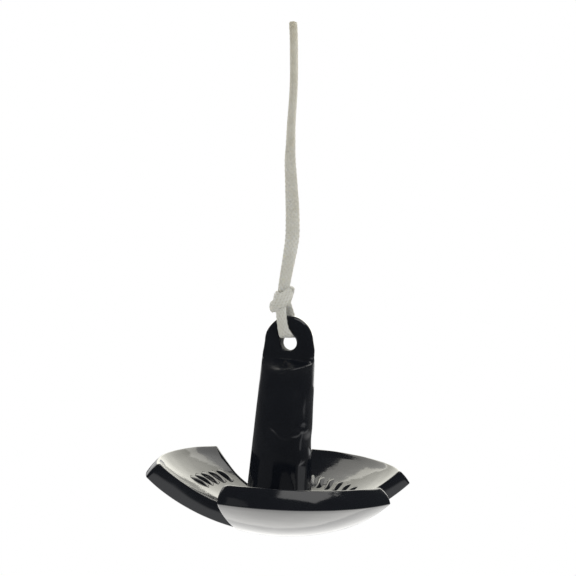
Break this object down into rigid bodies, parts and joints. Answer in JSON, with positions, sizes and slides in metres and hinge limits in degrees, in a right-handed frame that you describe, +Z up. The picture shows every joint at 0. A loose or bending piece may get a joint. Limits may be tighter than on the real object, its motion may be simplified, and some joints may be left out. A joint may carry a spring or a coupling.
{
  "type": "boat anchor",
  "caption": "River anchor with a tapered shank, a flat eye and cupped flukes, vinyl coated, hanging on a braided line tied through its eye.",
  "frame": {"origin": "centre of the line's upper end, where the anchor is held", "axes": "+Z up along the shank, +Y along the eye's bore away from the front face, +X to the right"},
  "size_m": [0.2129, 0.2159, 0.4133],
  "materials": {
    "iron": "rough grey iron as cast, sealed under the vinyl",
    "vinyl": "glossy black dipped PVC with faint orange peel",
    "rope": "white hollow-braid polypropylene, slightly soiled"
  },
  "bodies": {
    "rope": {"line": "rope", "knot": "rope", "eye_loop": "rope", "tail": "rope"},
    "anchor": {"casting": "iron", "coating": "vinyl"}
  },
  "joints": [
    {"name": "anchor_swing", "type": "hinge", "parent": "rope", "child": "anchor", "pos_m": [0.014, 0, -0.26], "axis": [0, 1, 0], "range_deg": [-85, 75]}
  ]
}
